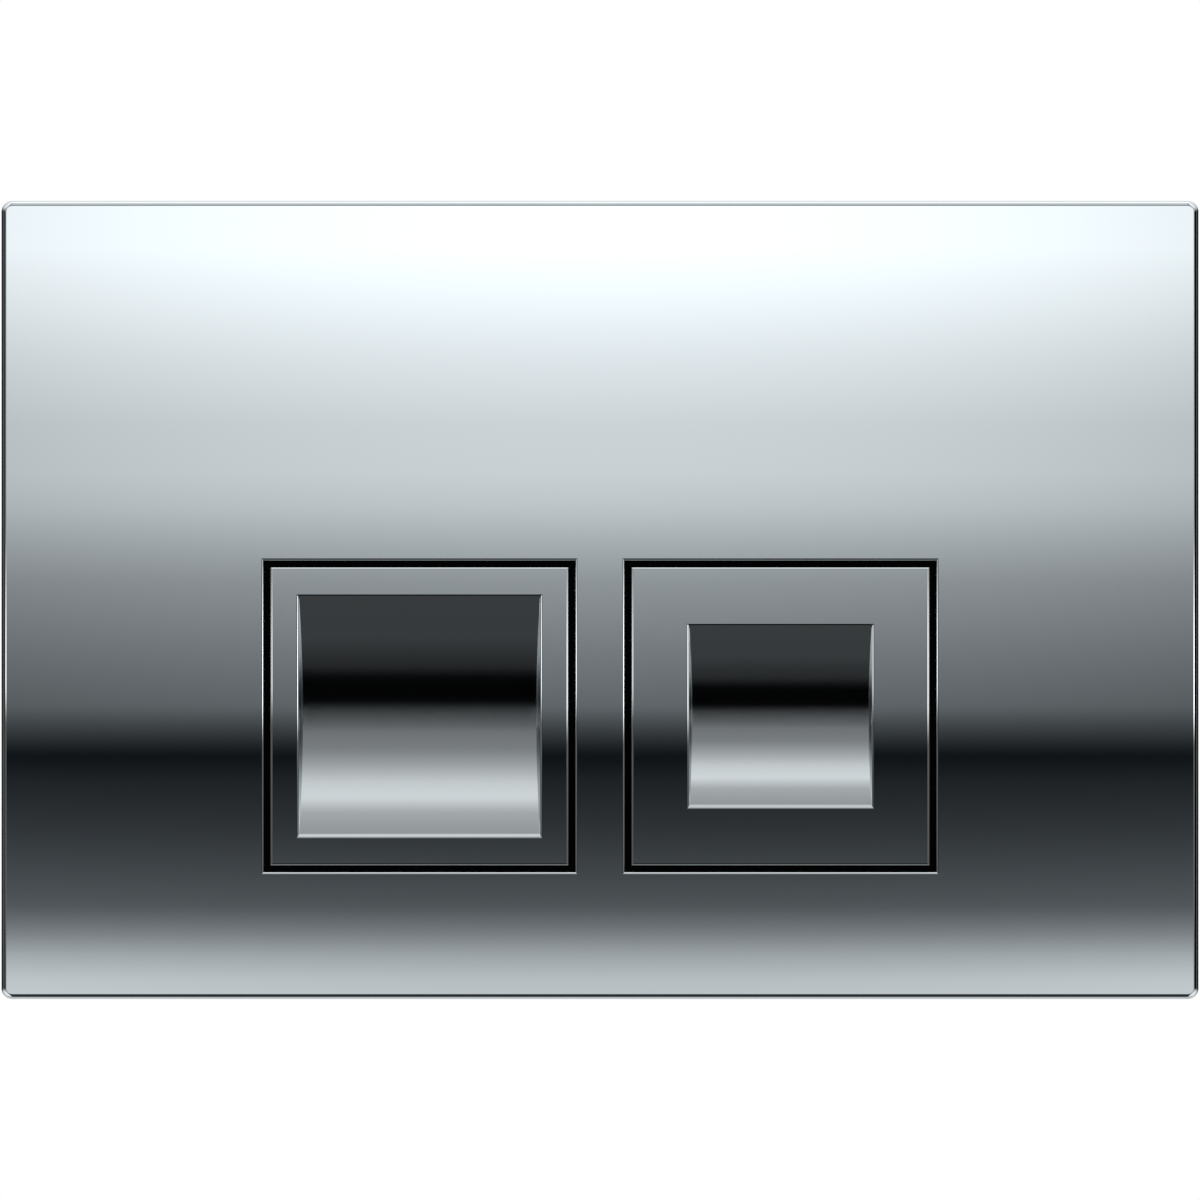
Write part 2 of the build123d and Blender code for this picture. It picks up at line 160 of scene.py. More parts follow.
class NodeBench:
    """Places and wires the nodes of one tree."""

    def __init__(self, tree: bpy.types.NodeTree) -> None:
        """Takes the tree to work on."""
        self.tree = tree

    def add(self, kind: str, **settings: object) -> bpy.types.Node:
        """Adds one node.

        Args:
            kind: Blender's name for the node's type.
            **settings: Properties to set on the node.

        Returns:
            The new node.
        """
        node = self.tree.nodes.new(kind)
        for name, value in settings.items():
            setattr(node, name, value)
        return node

    def feed(self, socket: Socket, value: Feed) -> None:
        """Links a socket to another, or sets its plain value.

        Args:
            socket: The input to feed.
            value: An output to link, or a number or colour to set.
        """
        if isinstance(value, Socket):
            self.tree.links.new(value, socket)
        else:
            socket.default_value = value

    def fill(self, node: bpy.types.Node, values: dict[str | int, Feed]) -> Socket:
        """Feeds several of a node's inputs.

        Args:
            node: The node.
            values: What each input gets, by its name or number.

        Returns:
            The first of the node's outputs that is in use.
        """
        for place, value in values.items():
            self.feed(node.inputs[place], value)
        return next(output for output in node.outputs if output.enabled)

    def math(self, operation: str, first: Feed, second: Feed = 0.0, clamp: bool = False) -> Socket:
        """Adds a Math node.

        Args:
            operation: The sum to do.
            first: Its first term.
            second: Its second term.
            clamp: Whether the result is held between 0 and 1.

        Returns:
            The result.
        """
        node = self.add("ShaderNodeMath", operation=operation, use_clamp=clamp)
        return self.fill(node, {0: first, 1: second})

    def split(self, vector: Socket) -> tuple[Socket, ...]:
        """Splits a vector.

        Args:
            vector: The vector's output.

        Returns:
            Its three parts.
        """
        node = self.add("ShaderNodeSeparateXYZ")
        self.feed(node.inputs[0], vector)
        return tuple(node.outputs)

    def ease(self, value: Feed, ramp: Ramp) -> Socket:
        """Eases a number smoothly along a ramp."""
        node = self.add("ShaderNodeMapRange", interpolation_type="SMOOTHSTEP")
        return self.fill(node, {0: value, 1: ramp.start, 2: ramp.end, 3: ramp.low, 4: ramp.high})

    def degrees(self, angle: Feed) -> Socket:
        """Turns an angle in radians into degrees."""
        return self.math("MULTIPLY", angle, math.degrees(1.0))

    def shades(
        self, place: Feed, tones: Sequence[Tone], strength: float, cast: Colour = COOL_CAST
    ) -> Socket:
        """Turns a place along a gradient into light.

        Args:
            place: The height or angle to look up.
            tones: The gradient, from its lowest place to its highest.
            strength: The light that a level of 255 stands for.
            cast: What the light's colour adds to each level.

        Returns:
            The light there, as a colour.
        """
        lowest, highest = tones[0].place, tones[-1].place
        spread = self.fill(self.add("ShaderNodeMapRange"), {0: place, 1: lowest, 2: highest})
        ramp = self.add("ShaderNodeValToRGB")
        stops = ramp.color_ramp.elements
        while len(stops) < len(tones):
            stops.new(1.0)
        for stop, tone in zip(stops, tones):
            stop.position = (tone.place - lowest) / (highest - lowest)
            stop.color = (*(max(tone.level + shift, 0.0) / FULL_LEVEL for shift in cast), 1.0)
        shade = self.fill(ramp, {0: spread})
        light = self.fill(self.add("ShaderNodeGamma"), {"Color": shade, "Gamma": DISPLAY_GAMMA})
        return self.scale(light, strength)

    def scale(self, colour: Feed, factor: Feed) -> Socket:
        """Makes a colour brighter or darker by a factor."""
        node = self.add("ShaderNodeVectorMath", operation="SCALE")
        return self.fill(node, {0: colour, "Scale": factor})

    def mix(self, share: Feed, first: Feed, second: Feed) -> Socket:
        """Mixes two colours by the share of the second."""
        node = self.add("ShaderNodeMix", data_type="RGBA")
        return self.fill(node, {0: share, 6: first, 7: second})

    def blend_numbers(self, share: Feed, first: Feed, second: Feed) -> Socket:
        """Mixes two numbers by the share of the second."""
        node = self.add("ShaderNodeMix", data_type="FLOAT")
        return self.fill(node, {0: share, 2: first, 3: second})

    def mix_shaders(self, share: Feed, first: Socket, second: Socket) -> Socket:
        """Mixes two shaders by the share of the second."""
        node = self.add("ShaderNodeMixShader")
        return self.fill(node, {0: share, 1: first, 2: second})


def pick(*pieces: bpy.types.Object) -> None:
    """Selects some pieces and nothing else, and makes the first of them active.

    Args:
        *pieces: The pieces.
    """
    bpy.ops.object.select_all(action="DESELECT")
    for piece in pieces:
        piece.select_set(True)
    bpy.context.view_layer.objects.active = pieces[0]


@contextmanager
def editing(piece: bpy.types.Object, *kinds: str) -> Iterator[bmesh.types.BMesh]:
    """Opens a piece in edit mode with nothing selected.

    Args:
        piece: The object to edit.
        *kinds: What is selected, out of VERT, EDGE and FACE.

    Yields:
        The mesh to select from.
    """
    pick(piece)
    bpy.ops.object.mode_set(mode="EDIT")
    bpy.context.tool_settings.mesh_select_mode = tuple(
        kind in kinds for kind in ("VERT", "EDGE", "FACE")
    )
    bpy.ops.mesh.select_all(action="DESELECT")
    yield bmesh.from_edit_mesh(piece.data)
    bpy.ops.object.mode_set(mode="OBJECT")


@dataclass(frozen=True)
class Lamp:
    """A square lamp that points at the plate."""

    name: str
    place: Point
    width: float
    power: float


@dataclass(frozen=True)
class Flag:
    """A dark screen beside the plate, on the left where side is -1 and on the right where it is 1."""

    name: str
    side: int
    glow: float


@dataclass
class Studio:
    """The camera, the light and the pale floor, none of which is part of the object."""

    face_depth: float = -CAD_BOX[0][1]
    view_width: float = 246.6 * MM
    camera_distance: float = 9.0
    clip_depth: float = 90.0
    sensor: float = 36.0
    mirror: float = 0.8
    least_ahead: float = 1e-4
    floor_drop: float = 0.30
    floor_size: float = 14.0
    floor_grey: float = 0.88
    floor_roughness: float = 0.9
    floor_specular: float = 0.1
    floor_glow: float = 0.22
    tent_radius: float = 0.5
    tent_height: float = 1.4
    tent_gap: float = 0.135
    tent_facets: int = 180
    ambient: float = 0.28
    flag_gap: float = 0.1 * MM
    flag_depth: float = 3.0 * MM
    flag_height: float = 160.0 * MM

    LAMPS = (
        Lamp("key_lamp", (-1.4, -1.6, 1.6), 1.4, 26.0),
        Lamp("fill_lamp", (1.7, -1.2, 0.7), 1.4, 9.0),
        Lamp("back_lamp", (1.5, 1.5, 1.6), 0.6, 44.0),
    )
    FLAGS = (Flag("left_flag", -1, 0.05), Flag("right_flag", 1, 0.006))

    # Heights and widths of the far gradient that the flat face mirrors, in millimetres
    FACE_HALF_WIDTH = 127.0
    FACE_HALF_HEIGHT = 86.0
    FACE_FADE_WIDTH = 111.0
    FACE_FADE = Ramp(-34, -22, 0.08, -0.15)
    FACE_GAIN = 1.02

    # Angles to the side in degrees, heights on the tent in millimetres and places across in metres
    AHEAD_EDGE = Ramp(8, 14)
    STRIP_INNER = Ramp(20, 25)
    STRIP_OUTER = Ramp(44, 50, 1.0, 0.0)
    STRIP_SHIFT = Ramp(-0.1, 0.1, -3.5, 1.0)
    STRIP_FOOT = Ramp(-31, -21, 0.08, 1.0)
    STRIP_HEAD = Ramp(-12, 18, 1.0, 0.15)
    STRIP_POWER = Ramp(-0.1, 0.1, 2.1, 2.8)
    FLANK = Ramp(52, 72, 0.0, 0.09)
    SKIRT = Ramp(-75, -250, 0.03, 0.85)
    CROWN = Ramp(95, 300, 0.0, 0.8)
    WALL_EDGE = Ramp(18, 30)
    WALL_COVER = Ramp(16, 23)

    # Greys by height in millimetres for the face, and by angle of rise in degrees for the rest
    FACE_TONES = (
        Tone(-82, 192), Tone(-78, 187), Tone(-73, 160), Tone(-68, 117), Tone(-63, 83), Tone(-47, 53),
        Tone(-37, 38), Tone(-32, 23), Tone(-22, 100), Tone(-11, 119), Tone(4, 146), Tone(19, 193),
        Tone(26, 205), Tone(36, 208), Tone(50, 228), Tone(61, 247), Tone(67, 256), Tone(72, 264),
    )
    AHEAD_TONES = (
        Tone(-90, 200), Tone(-75, 150), Tone(-64, 62), Tone(-40, 60), Tone(-25, 42), Tone(-19, 10),
        Tone(-15, 3), Tone(-9, 3), Tone(-4, 30), Tone(0, 51), Tone(4, 94), Tone(8, 114), Tone(16, 123),
        Tone(24, 158), Tone(33, 200), Tone(41, 213), Tone(49, 167), Tone(60, 149), Tone(63, 255),
        Tone(90, 270),
    )
    AROUND_TONES = (
        Tone(-90, 185), Tone(-55, 170), Tone(-30, 140), Tone(-16, 60), Tone(-8, 36), Tone(8, 36),
        Tone(16, 70), Tone(30, 150), Tone(50, 200), Tone(70, 240), Tone(90, 255),
    )
    BEHIND_TONES = (
        Tone(-90, 200), Tone(-30, 185), Tone(-12, 120), Tone(-6, 22), Tone(6, 22), Tone(14, 130),
        Tone(30, 200), Tone(90, 255),
    )

    def set_camera(self) -> None:
        """Looks straight at the plate from far off, as the photograph does."""
        bpy.ops.object.camera_add(location=(0, -self.camera_distance, 0), rotation=(math.pi / 2, 0, 0))
        camera = bpy.context.object
        camera.name = "studio_camera"
        camera.data.sensor_width = self.sensor
        camera.data.lens = self.sensor * (self.camera_distance - self.face_depth) / self.view_width
        camera.data.clip_end = self.clip_depth
        bpy.context.scene.camera = camera

    def reflections(self, bench: NodeBench) -> Socket:
        """Works out the light that the plating mirrors, from its direction.

        Args:
            bench: The world's nodes.

        Returns:
            The light as a colour.
        """
        right, deep, up = bench.split(bench.add("ShaderNodeTexCoord").outputs["Generated"])
        ahead = bench.math("MAXIMUM", bench.math("MULTIPLY", deep, -1.0), self.least_ahead)
        reach = (self.camera_distance - self.face_depth) / MM
        across = bench.math("MULTIPLY", bench.math("DIVIDE", right, ahead), reach)
        height = bench.math("MULTIPLY", bench.math("DIVIDE", up, ahead), reach)
        side = bench.degrees(bench.math("ARCTAN2", bench.math("ABSOLUTE", right), ahead))
        behind = bench.math("GREATER_THAN", deep, 0.0)
        rise = bench.degrees(bench.math("ARCSINE", up))
        around = bench.shades(rise, self.AROUND_TONES, 1 / self.mirror)
        rear = bench.shades(rise, self.BEHIND_TONES, 1 / self.mirror)
        wide = bench.shades(rise, self.AHEAD_TONES, 1 / self.mirror, FAINT_CAST)
        wide = bench.mix(bench.ease(side, self.AHEAD_EDGE), wide, around)
        wide = bench.mix(behind, wide, rear)
        face = self.face_light(bench, across, height)
        in_width = bench.math("LESS_THAN", bench.math("ABSOLUTE", across), self.FACE_HALF_WIDTH)
        in_height = bench.math("LESS_THAN", bench.math("ABSOLUTE", height), self.FACE_HALF_HEIGHT)
        near = bench.math("MULTIPLY", in_width, in_height)
        near = bench.math("MULTIPLY", near, bench.math("SUBTRACT", 1.0, behind))
        return bench.mix(near, wide, face)

    def face_light(self, bench: NodeBench, across: Socket, height: Socket) -> Socket:
        """Works out the far gradient that the flat face mirrors to the camera.

        Args:
            bench: The world's nodes.
            across: The place across the face in millimetres.
            height: The place up the face in millimetres.

        Returns:
            The light as a colour.
        """
        aside = bench.math("DIVIDE", across, self.FACE_FADE_WIDTH)
        aside = bench.math("MULTIPLY", aside, aside)
        fade = bench.ease(height, self.FACE_FADE)
        gain = bench.math("ADD", bench.math("MULTIPLY", aside, fade), 1.0)
        return bench.scale(bench.shades(height, self.FACE_TONES, self.FACE_GAIN / self.mirror), gain)

    def set_world(self) -> None:
        """White to the camera, gradients to the plating and an even light to the rest."""
        world = bpy.data.worlds.new("studio_world")
        world.use_nodes = True
        bpy.context.scene.world = world
        bench = NodeBench(world.node_tree)
        world.node_tree.nodes.clear()
        path = bench.add("ShaderNodeLightPath")
        even = (self.ambient, self.ambient, self.ambient, 1.0)
        light = bench.mix(path.outputs["Is Glossy Ray"], even, self.reflections(bench))
        light = bench.mix(path.outputs["Is Camera Ray"], light, WHITE)
        background = bench.fill(bench.add("ShaderNodeBackground"), {"Color": light})
        bench.feed(bench.add("ShaderNodeOutputWorld").inputs["Surface"], background)

    def lay_floor(self) -> None:
        """A plain pale floor, which a view from below looks through."""
        bpy.ops.mesh.primitive_plane_add(size=self.floor_size, location=(0, 0, -self.floor_drop))
        floor = bpy.context.object
        floor.name = "studio_floor"
        floor.visible_glossy = False
        material = bpy.data.materials.new("pale_floor")
        material.use_nodes = True
        bench = NodeBench(material.node_tree)
        seen = bench.add("ShaderNodeLightPath").outputs["Is Camera Ray"]
        surface = material.node_tree.nodes["Principled BSDF"]
        finish = {
            "Base Color": (self.floor_grey, self.floor_grey, self.floor_grey, 1.0),
            "Roughness": self.floor_roughness,
            "Specular IOR Level": self.floor_specular,
            "Emission Color": WHITE,
            "Emission Strength": bench.math("MULTIPLY", seen, self.floor_glow),
        }
        pale = bench.fill(surface, finish)
        below = bench.add("ShaderNodeNewGeometry").outputs["Backfacing"]
        clear = bench.add("ShaderNodeBsdfTransparent").outputs[0]
        chosen = bench.mix_shaders(below, pale, clear)
        bench.feed(material.node_tree.nodes["Material Output"].inputs["Surface"], chosen)
        floor.data.materials.append(material)

    def pitch_tent(self) -> None:
        """A round wall of soft light and shade that only the plating sees, open straight ahead."""
        bpy.ops.mesh.primitive_cylinder_add(
            vertices=self.tent_facets,
            radius=self.tent_radius,
            depth=self.tent_height,
            end_fill_type="NOTHING",
            location=(0, 0, 0),
        )
        tent = bpy.context.object
        tent.name = "studio_tent"
        with editing(tent, "FACE") as mesh:
            for face in mesh.faces:
                middle = face.calc_center_median()
                ahead = middle.y < 0 and abs(middle.x) < self.tent_gap
                face.select = ahead or middle.y > 0
            bmesh.update_edit_mesh(tent.data)
            bpy.ops.mesh.delete(type="FACE")
        bench = self.screen_bench(tent)
        self.light_screen(tent, bench, *self.tent_light(bench))

    def tent_light(self, bench: NodeBench) -> tuple[Socket, Socket]:
        """Works out the tent's light from the place on its wall.

        Args:
            bench: The tent's nodes.

        Returns:
            The light, and how solid the wall is, which thins out towards the gap.
        """
        right, deep, up = bench.split(bench.add("ShaderNodeNewGeometry").outputs["Position"])
        ahead = bench.math("MULTIPLY", deep, -1.0)
        side = bench.degrees(bench.math("ARCTAN2", bench.math("ABSOLUTE", right), ahead))
        height = bench.math("DIVIDE", up, MM)
        foot = bench.math("ADD", height, bench.ease(right, self.STRIP_SHIFT))
        strip = bench.ease(side, self.STRIP_INNER)
        for place, ramp in (
            (side, self.STRIP_OUTER),
            (foot, self.STRIP_FOOT),
            (height, self.STRIP_HEAD),
            (right, self.STRIP_POWER),
        ):
            strip = bench.math("MULTIPLY", strip, bench.ease(place, ramp))
        flank = bench.ease(side, self.FLANK)
        ends = bench.math("ADD", bench.ease(height, self.SKIRT), bench.ease(height, self.CROWN))
        ends = bench.math("MULTIPLY", ends, bench.ease(side, self.WALL_EDGE))
        light = bench.math("ADD", bench.math("ADD", strip, flank), ends)
        return light, bench.ease(side, self.WALL_COVER)

    def stand_flags(self) -> None:
        """Dark flags close beside the plate, which draw its outer edges and which only the plating sees."""
        for flag in self.FLAGS:
            across = flag.side * (CAD_BOX[1][0] + self.flag_gap)
            place = (across, -self.face_depth - self.flag_depth / 2, 0.0)
            bpy.ops.mesh.primitive_plane_add(size=1.0, location=place, rotation=(0, math.pi / 2, 0))
            screen = bpy.context.object
            screen.name = flag.name
            screen.scale = (self.flag_height, self.flag_depth, 1.0)
            self.light_screen(screen, self.screen_bench(screen), flag.glow)

    @staticmethod
    def screen_bench(screen: bpy.types.Object) -> NodeBench:
        """Puts an empty material on a studio screen.

        Args:
            screen: The screen.

        Returns:
            The material's bench.
        """
        material = bpy.data.materials.new(f"{screen.name}_light")
        material.use_nodes = True
        material.node_tree.nodes.clear()
        screen.data.materials.append(material)
        return NodeBench(material.node_tree)

    @staticmethod
    def light_screen(screen: bpy.types.Object, bench: NodeBench, strength: Feed, cover: Feed = 1.0) -> None:
        """Lights a studio screen and leaves it visible in reflections alone.

        Args:
            screen: The screen.
            bench: Its material's nodes.
            strength: The light that it gives.
            cover: How solid it is.
        """
        light = bench.fill(bench.add("ShaderNodeEmission"), {"Strength": strength})
        clear = bench.add("ShaderNodeBsdfTransparent").outputs[0]
        shown = bench.mix_shaders(cover, clear, light)
        bench.feed(bench.add("ShaderNodeOutputMaterial").inputs["Surface"], shown)
        for ray in ("camera", "diffuse", "shadow", "transmission", "volume_scatter"):
            setattr(screen, f"visible_{ray}", False)

    def hang_lamps(self) -> None:
        """Soft lamps in front, at the back and above, out of the plating's sight."""
        for lamp in self.LAMPS:
            turn = (-Vector(lamp.place)).to_track_quat("-Z", "Y").to_euler()
            bpy.ops.object.light_add(type="AREA", location=lamp.place, rotation=turn)
            light = bpy.context.object
            light.name = lamp.name
            light.data.size = lamp.width
            light.data.energy = lamp.power
            light.visible_glossy = False

    def build(self) -> None:
        """Sets up the whole studio."""
        bpy.context.scene.view_settings.view_transform = "Standard"
        self.set_camera()
        self.set_world()
        self.lay_floor()
        self.pitch_tent()
        self.stand_flags()
        self.hang_lamps()
        LOG.info("studio: camera %.1f m off, floor %.2f m below", self.camera_distance, self.floor_drop)


class SharedEffects:
    """Node groups that several finishes use."""

    # Each noise's output, the input that gives its scale, and its detail
    NOISES = (("Height", "Fine Scale", 2.0), ("Mottle", "Broad Scale", 4.0))

    SHEEN_FINENESS = 6.0
    SHEEN_PATCHES = Ramp(0.35, 0.65)
    DISH_FACING = -0.02
    # Bare plastic that faces forward more than this, deep in the gaps, is painted near black as shade
    GAP_SHADE_FACING = -0.5
    DISH_DEPTH = 3.0 * MM
    FLOOR_LEVEL = Ramp(0.02, 0.075, 1.0, 0.0)

    def __init__(self) -> None:
        """Builds each group once."""
        self.grain = self.moulded_grain()
        self.plating = self.plated_faces()

    @staticmethod
    def group(
        name: str, inputs: Sequence[tuple[str, float]], outputs: Sequence[str]
    ) -> tuple[bpy.types.NodeTree, bpy.types.Node, bpy.types.Node]:
        """Starts a node group with number sockets.

        Args:
            name: The group's name.
            inputs: Each input's name and usual value.
            outputs: The outputs' names.

        Returns:
            The group, its input node and its output node.
        """
        tree = bpy.data.node_groups.new(name, "ShaderNodeTree")
        for label, usual in inputs:
            socket = tree.interface.new_socket(label, in_out="INPUT", socket_type="NodeSocketFloat")
            socket.default_value = usual
        for label in outputs:
            tree.interface.new_socket(label, in_out="OUTPUT", socket_type="NodeSocketFloat")
        return tree, tree.nodes.new("NodeGroupInput"), tree.nodes.new("NodeGroupOutput")

    def moulded_grain(self) -> bpy.types.NodeTree:
        """Fine spark-eroded texture with a broad mottle, as moulded plastic has.

        Returns:
            The group, with Height, Mottle and Sheen outputs.
        """
        tree, given, result = self.group(
            "moulded_grain",
            (("Fine Scale", FINE_GRAIN), ("Broad Scale", BROAD_MOTTLE)),
            ("Height", "Mottle", "Sheen"),
        )
        bench = NodeBench(tree)
        place = bench.add("ShaderNodeTexCoord").outputs["Object"]
        for label, scale, detail in self.NOISES:
            values = {"Vector": place, "Scale": given.outputs[scale], "Detail": detail}
            bench.feed(result.inputs[label], bench.fill(bench.add("ShaderNodeTexNoise"), values))
        finer = bench.math("MULTIPLY", given.outputs["Broad Scale"], self.SHEEN_FINENESS)
        patches = bench.fill(bench.add("ShaderNodeTexNoise"), {"Vector": place, "Scale": finer})
        bench.feed(result.inputs["Sheen"], bench.ease(patches, self.SHEEN_PATCHES))
        return tree

    def plated_faces(self) -> bpy.types.NodeTree:
        """Marks the faces that take the plating: the front skin, the outer sides and a finger dish.

        Returns:
            The group, with Plating, Dish, Floor, painted gap shade and Sheen outputs. Floor is the level
            middle of a dish, where fingers rub. The painted gap shade output marks bare plastic that faces
            forward, deep in the gap round a button, to be painted near black as shade, and Sheen is the
            rest of the bare plastic.
        """
        tree, given, result = self.group(
            "plated_faces",
            (
                ("Skin Depth", 0.0), ("Middle X", 0.0), ("Middle Z", 0.0), ("Outer X", 1.0),
                ("Outer Z", 1.0), ("Dish Half", 0.0), ("Dish Depth", self.DISH_DEPTH),
            ),
            ("Plating", "Dish", "Floor", "Gap Shade", "Sheen"),
        )
        bench = NodeBench(tree)
        x, y, z = bench.split(bench.add("ShaderNodeTexCoord").outputs["Object"])
        _, toward, upward = bench.split(bench.add("ShaderNodeNewGeometry").outputs["Normal"])
        off_x = bench.math("ABSOLUTE", bench.math("SUBTRACT", x, given.outputs["Middle X"]))
        off_z = bench.math("ABSOLUTE", bench.math("SUBTRACT", z, given.outputs["Middle Z"]))
        skin = bench.math("LESS_THAN", y, given.outputs["Skin Depth"])
        past_x = bench.math("SUBTRACT", off_x, given.outputs["Outer X"])
        past_z = bench.math("SUBTRACT", off_z, given.outputs["Outer Z"])
        outer = bench.math("GREATER_THAN", bench.math("MAXIMUM", past_x, past_z), 0.0)
        inside = bench.math("LESS_THAN", bench.math("MAXIMUM", off_x, off_z), given.outputs["Dish Half"])
        inside = bench.math("MULTIPLY", inside, bench.math("LESS_THAN", toward, self.DISH_FACING))
        sunk = bench.math("SUBTRACT", y, given.outputs["Skin Depth"])
        sunk = bench.math("DIVIDE", sunk, given.outputs["Dish Depth"], clamp=True)
        plating = bench.math("MAXIMUM", bench.math("MAXIMUM", skin, outer), inside)
        dish = bench.math("MULTIPLY", inside, sunk)
        level = bench.ease(bench.math("ABSOLUTE", upward), self.FLOOR_LEVEL)
        bare = bench.math("SUBTRACT", 1.0, plating)
        # Painted shade: forward-facing bare plastic deep in the gap round a button is marked to be painted
        # near black
        gap_shade = bench.math("MULTIPLY", bare, bench.math("LESS_THAN", toward, self.GAP_SHADE_FACING))
        masks = {
            "Plating": plating,
            "Dish": dish,
            "Floor": bench.math("MULTIPLY", dish, level),
            "Gap Shade": gap_shade,
            "Sheen": bench.math("SUBTRACT", bare, gap_shade),
        }
        for label, mask in masks.items():
            bench.feed(result.inputs[label], mask)
        return tree


class Finish:
    """A material that is made once and put on any number of pieces."""

    name: str

    def start(self) -> tuple[bpy.types.Material, NodeBench, bpy.types.Node]:
        """Starts a new material.

        Returns:
            The material, its bench and its Principled shader.
        """
        material = bpy.data.materials.new(self.name)
        material.use_nodes = True
        return material, NodeBench(material.node_tree), material.node_tree.nodes["Principled BSDF"]


@dataclass(frozen=True)
class MouldedFinish(Finish):
    """Moulded plastic or rubber with a fine grain and a faint mottle."""

    name: str
    colour: Colour
    shade: Colour
    roughness: float
    polish: float = 0.1
    fine_scale: float = FINE_GRAIN
    broad_scale: float = BROAD_MOTTLE
    grain_depth: float = 0.02 * MM

    def make(self, effects: SharedEffects) -> bpy.types.Material:
        """Makes the material.

        Args:
            effects: The shared node groups.

        Returns:
            The new material.
        """
        material, bench, surface = self.start()
        grain = bench.add("ShaderNodeGroup", node_tree=effects.grain)
        bench.fill(grain, {"Fine Scale": self.fine_scale, "Broad Scale": self.broad_scale})
        tint = bench.mix(grain.outputs["Mottle"], (*self.shade, 1.0), (*self.colour, 1.0))
        gloss = bench.blend_numbers(grain.outputs["Sheen"], self.roughness, self.roughness - self.polish)
        relief = {"Distance": self.grain_depth, "Height": grain.outputs["Height"]}
        bump = bench.fill(bench.add("ShaderNodeBump"), relief)
        bench.fill(surface, {"Base Color": tint, "Roughness": gloss, "Normal": bump})
        return material


@dataclass(frozen=True)
class DrawnSteelFinish(Finish):
    """Stainless wire and rod with fine lines from drawing."""

    name: str = "drawn_steel"
    colour: Colour = (0.60, 0.60, 0.61)
    shade: Colour = (0.46, 0.46, 0.47)
    line_scale: float = 2500.0
    stretch: float = 0.04
    roughness: Ramp = Ramp(0.2, 0.8, 0.22, 0.40)

    def make(self) -> bpy.types.Material:
        """Makes the material.

        Returns:
            The new material.
        """
        material, bench, surface = self.start()
        place = bench.add("ShaderNodeTexCoord").outputs["Object"]
        drawn = {"Vector": place, "Scale": (self.stretch, 1.0, 1.0)}
        along = bench.fill(bench.add("ShaderNodeMapping"), drawn)
        lines = bench.fill(bench.add("ShaderNodeTexNoise"), {"Vector": along, "Scale": self.line_scale})
        tint = bench.mix(lines, (*self.shade, 1.0), (*self.colour, 1.0))
        gloss = bench.ease(lines, self.roughness)
        bench.fill(surface, {"Base Color": tint, "Roughness": gloss, "Metallic": 1.0})
        return material


@dataclass(frozen=True)
class PlatedFinish(Finish):
    """Bright chrome on the faces that show, bare black plastic behind them, and painted shade in the gaps.

    Attributes:
        name: The material's name.
        skin_depth: How far back the plated front skin reaches.
        middle: The piece's middle across and up.
        outer: Half the width and height past which the outer sides are plated.
        dish_half: Half the width of the square that holds the finger dish.
    """

    name: str
    skin_depth: float
    middle: tuple[float, float] = (0.0, 0.0)
    outer: tuple[float, float] = (1.0, 1.0)
    dish_half: float = 0.0
    chrome: Colour = (0.755, 0.80, 0.815)
    plastic: Colour = (0.034, 0.034, 0.036)
    # Near-black colour painted as shade on forward-facing bare plastic deep in the gaps
    gap_shade: Colour = (0.002, 0.002, 0.002)
    mirror_roughness: float = 0.006
    dish_roughness: float = 0.10
    floor_roughness: float = 0.2
    plastic_roughness: float = 0.5
    plastic_specular: float = 0.08
    sheen_roughness: float = 0.3

    def make(self, effects: SharedEffects) -> bpy.types.Material:
        """Makes the material.

        Args:
            effects: The shared node groups.

        Returns:
            The new material.
        """
        material, bench, surface = self.start()
        plated = bench.add("ShaderNodeGroup", node_tree=effects.plating)
        sizes = {
            "Skin Depth": self.skin_depth,
            "Middle X": self.middle[0],
            "Middle Z": self.middle[1],
            "Outer X": self.outer[0],
            "Outer Z": self.outer[1],
            "Dish Half": self.dish_half,
        }
        bench.fill(plated, sizes)
        plating = plated.outputs["Plating"]
        # Painted shade: bare plastic that faces forward down the gaps takes the near-black colour
        bare = bench.mix(plated.outputs["Gap Shade"], (*self.plastic, 1.0), (*self.gap_shade, 1.0))
        bright = bench.blend_numbers(plated.outputs["Dish"], self.mirror_roughness, self.dish_roughness)
        bright = bench.blend_numbers(plated.outputs["Floor"], bright, self.floor_roughness)
        finish = {
            "Base Color": bench.mix(plating, bare, (*self.chrome, 1.0)),
            "Metallic": plating,
            "Roughness": bench.blend_numbers(plating, self.plastic_roughness, bright),
            "Specular IOR Level": self.plastic_specular,
            "Coat Weight": plated.outputs["Sheen"],
            "Coat Roughness": self.sheen_roughness,
        }
        bench.fill(surface, finish)
        return material


@dataclass(frozen=True)
class ThreadForm:
    """The sizes of a rounded screw thread."""

    radius: float
    pitch: float
    depth: float
    steps: int = 28
    lead_turns: int = 2

    # Places along one pitch, and whether the thread is at its crest there
    OUTLINE = ((0.0, False), (0.14, False), (0.42, True), (0.58, True), (0.86, False), (1.0, False))

    def profile(self) -> list[tuple[float, float]]:
        """Lays out the profile of one turn.

        Returns:
            Each point's distance from the axis and its place along the axis.
        """
        root = self.radius - self.depth
        return [(self.radius if crest else root, place * self.pitch) for place, crest in self.OUTLINE]


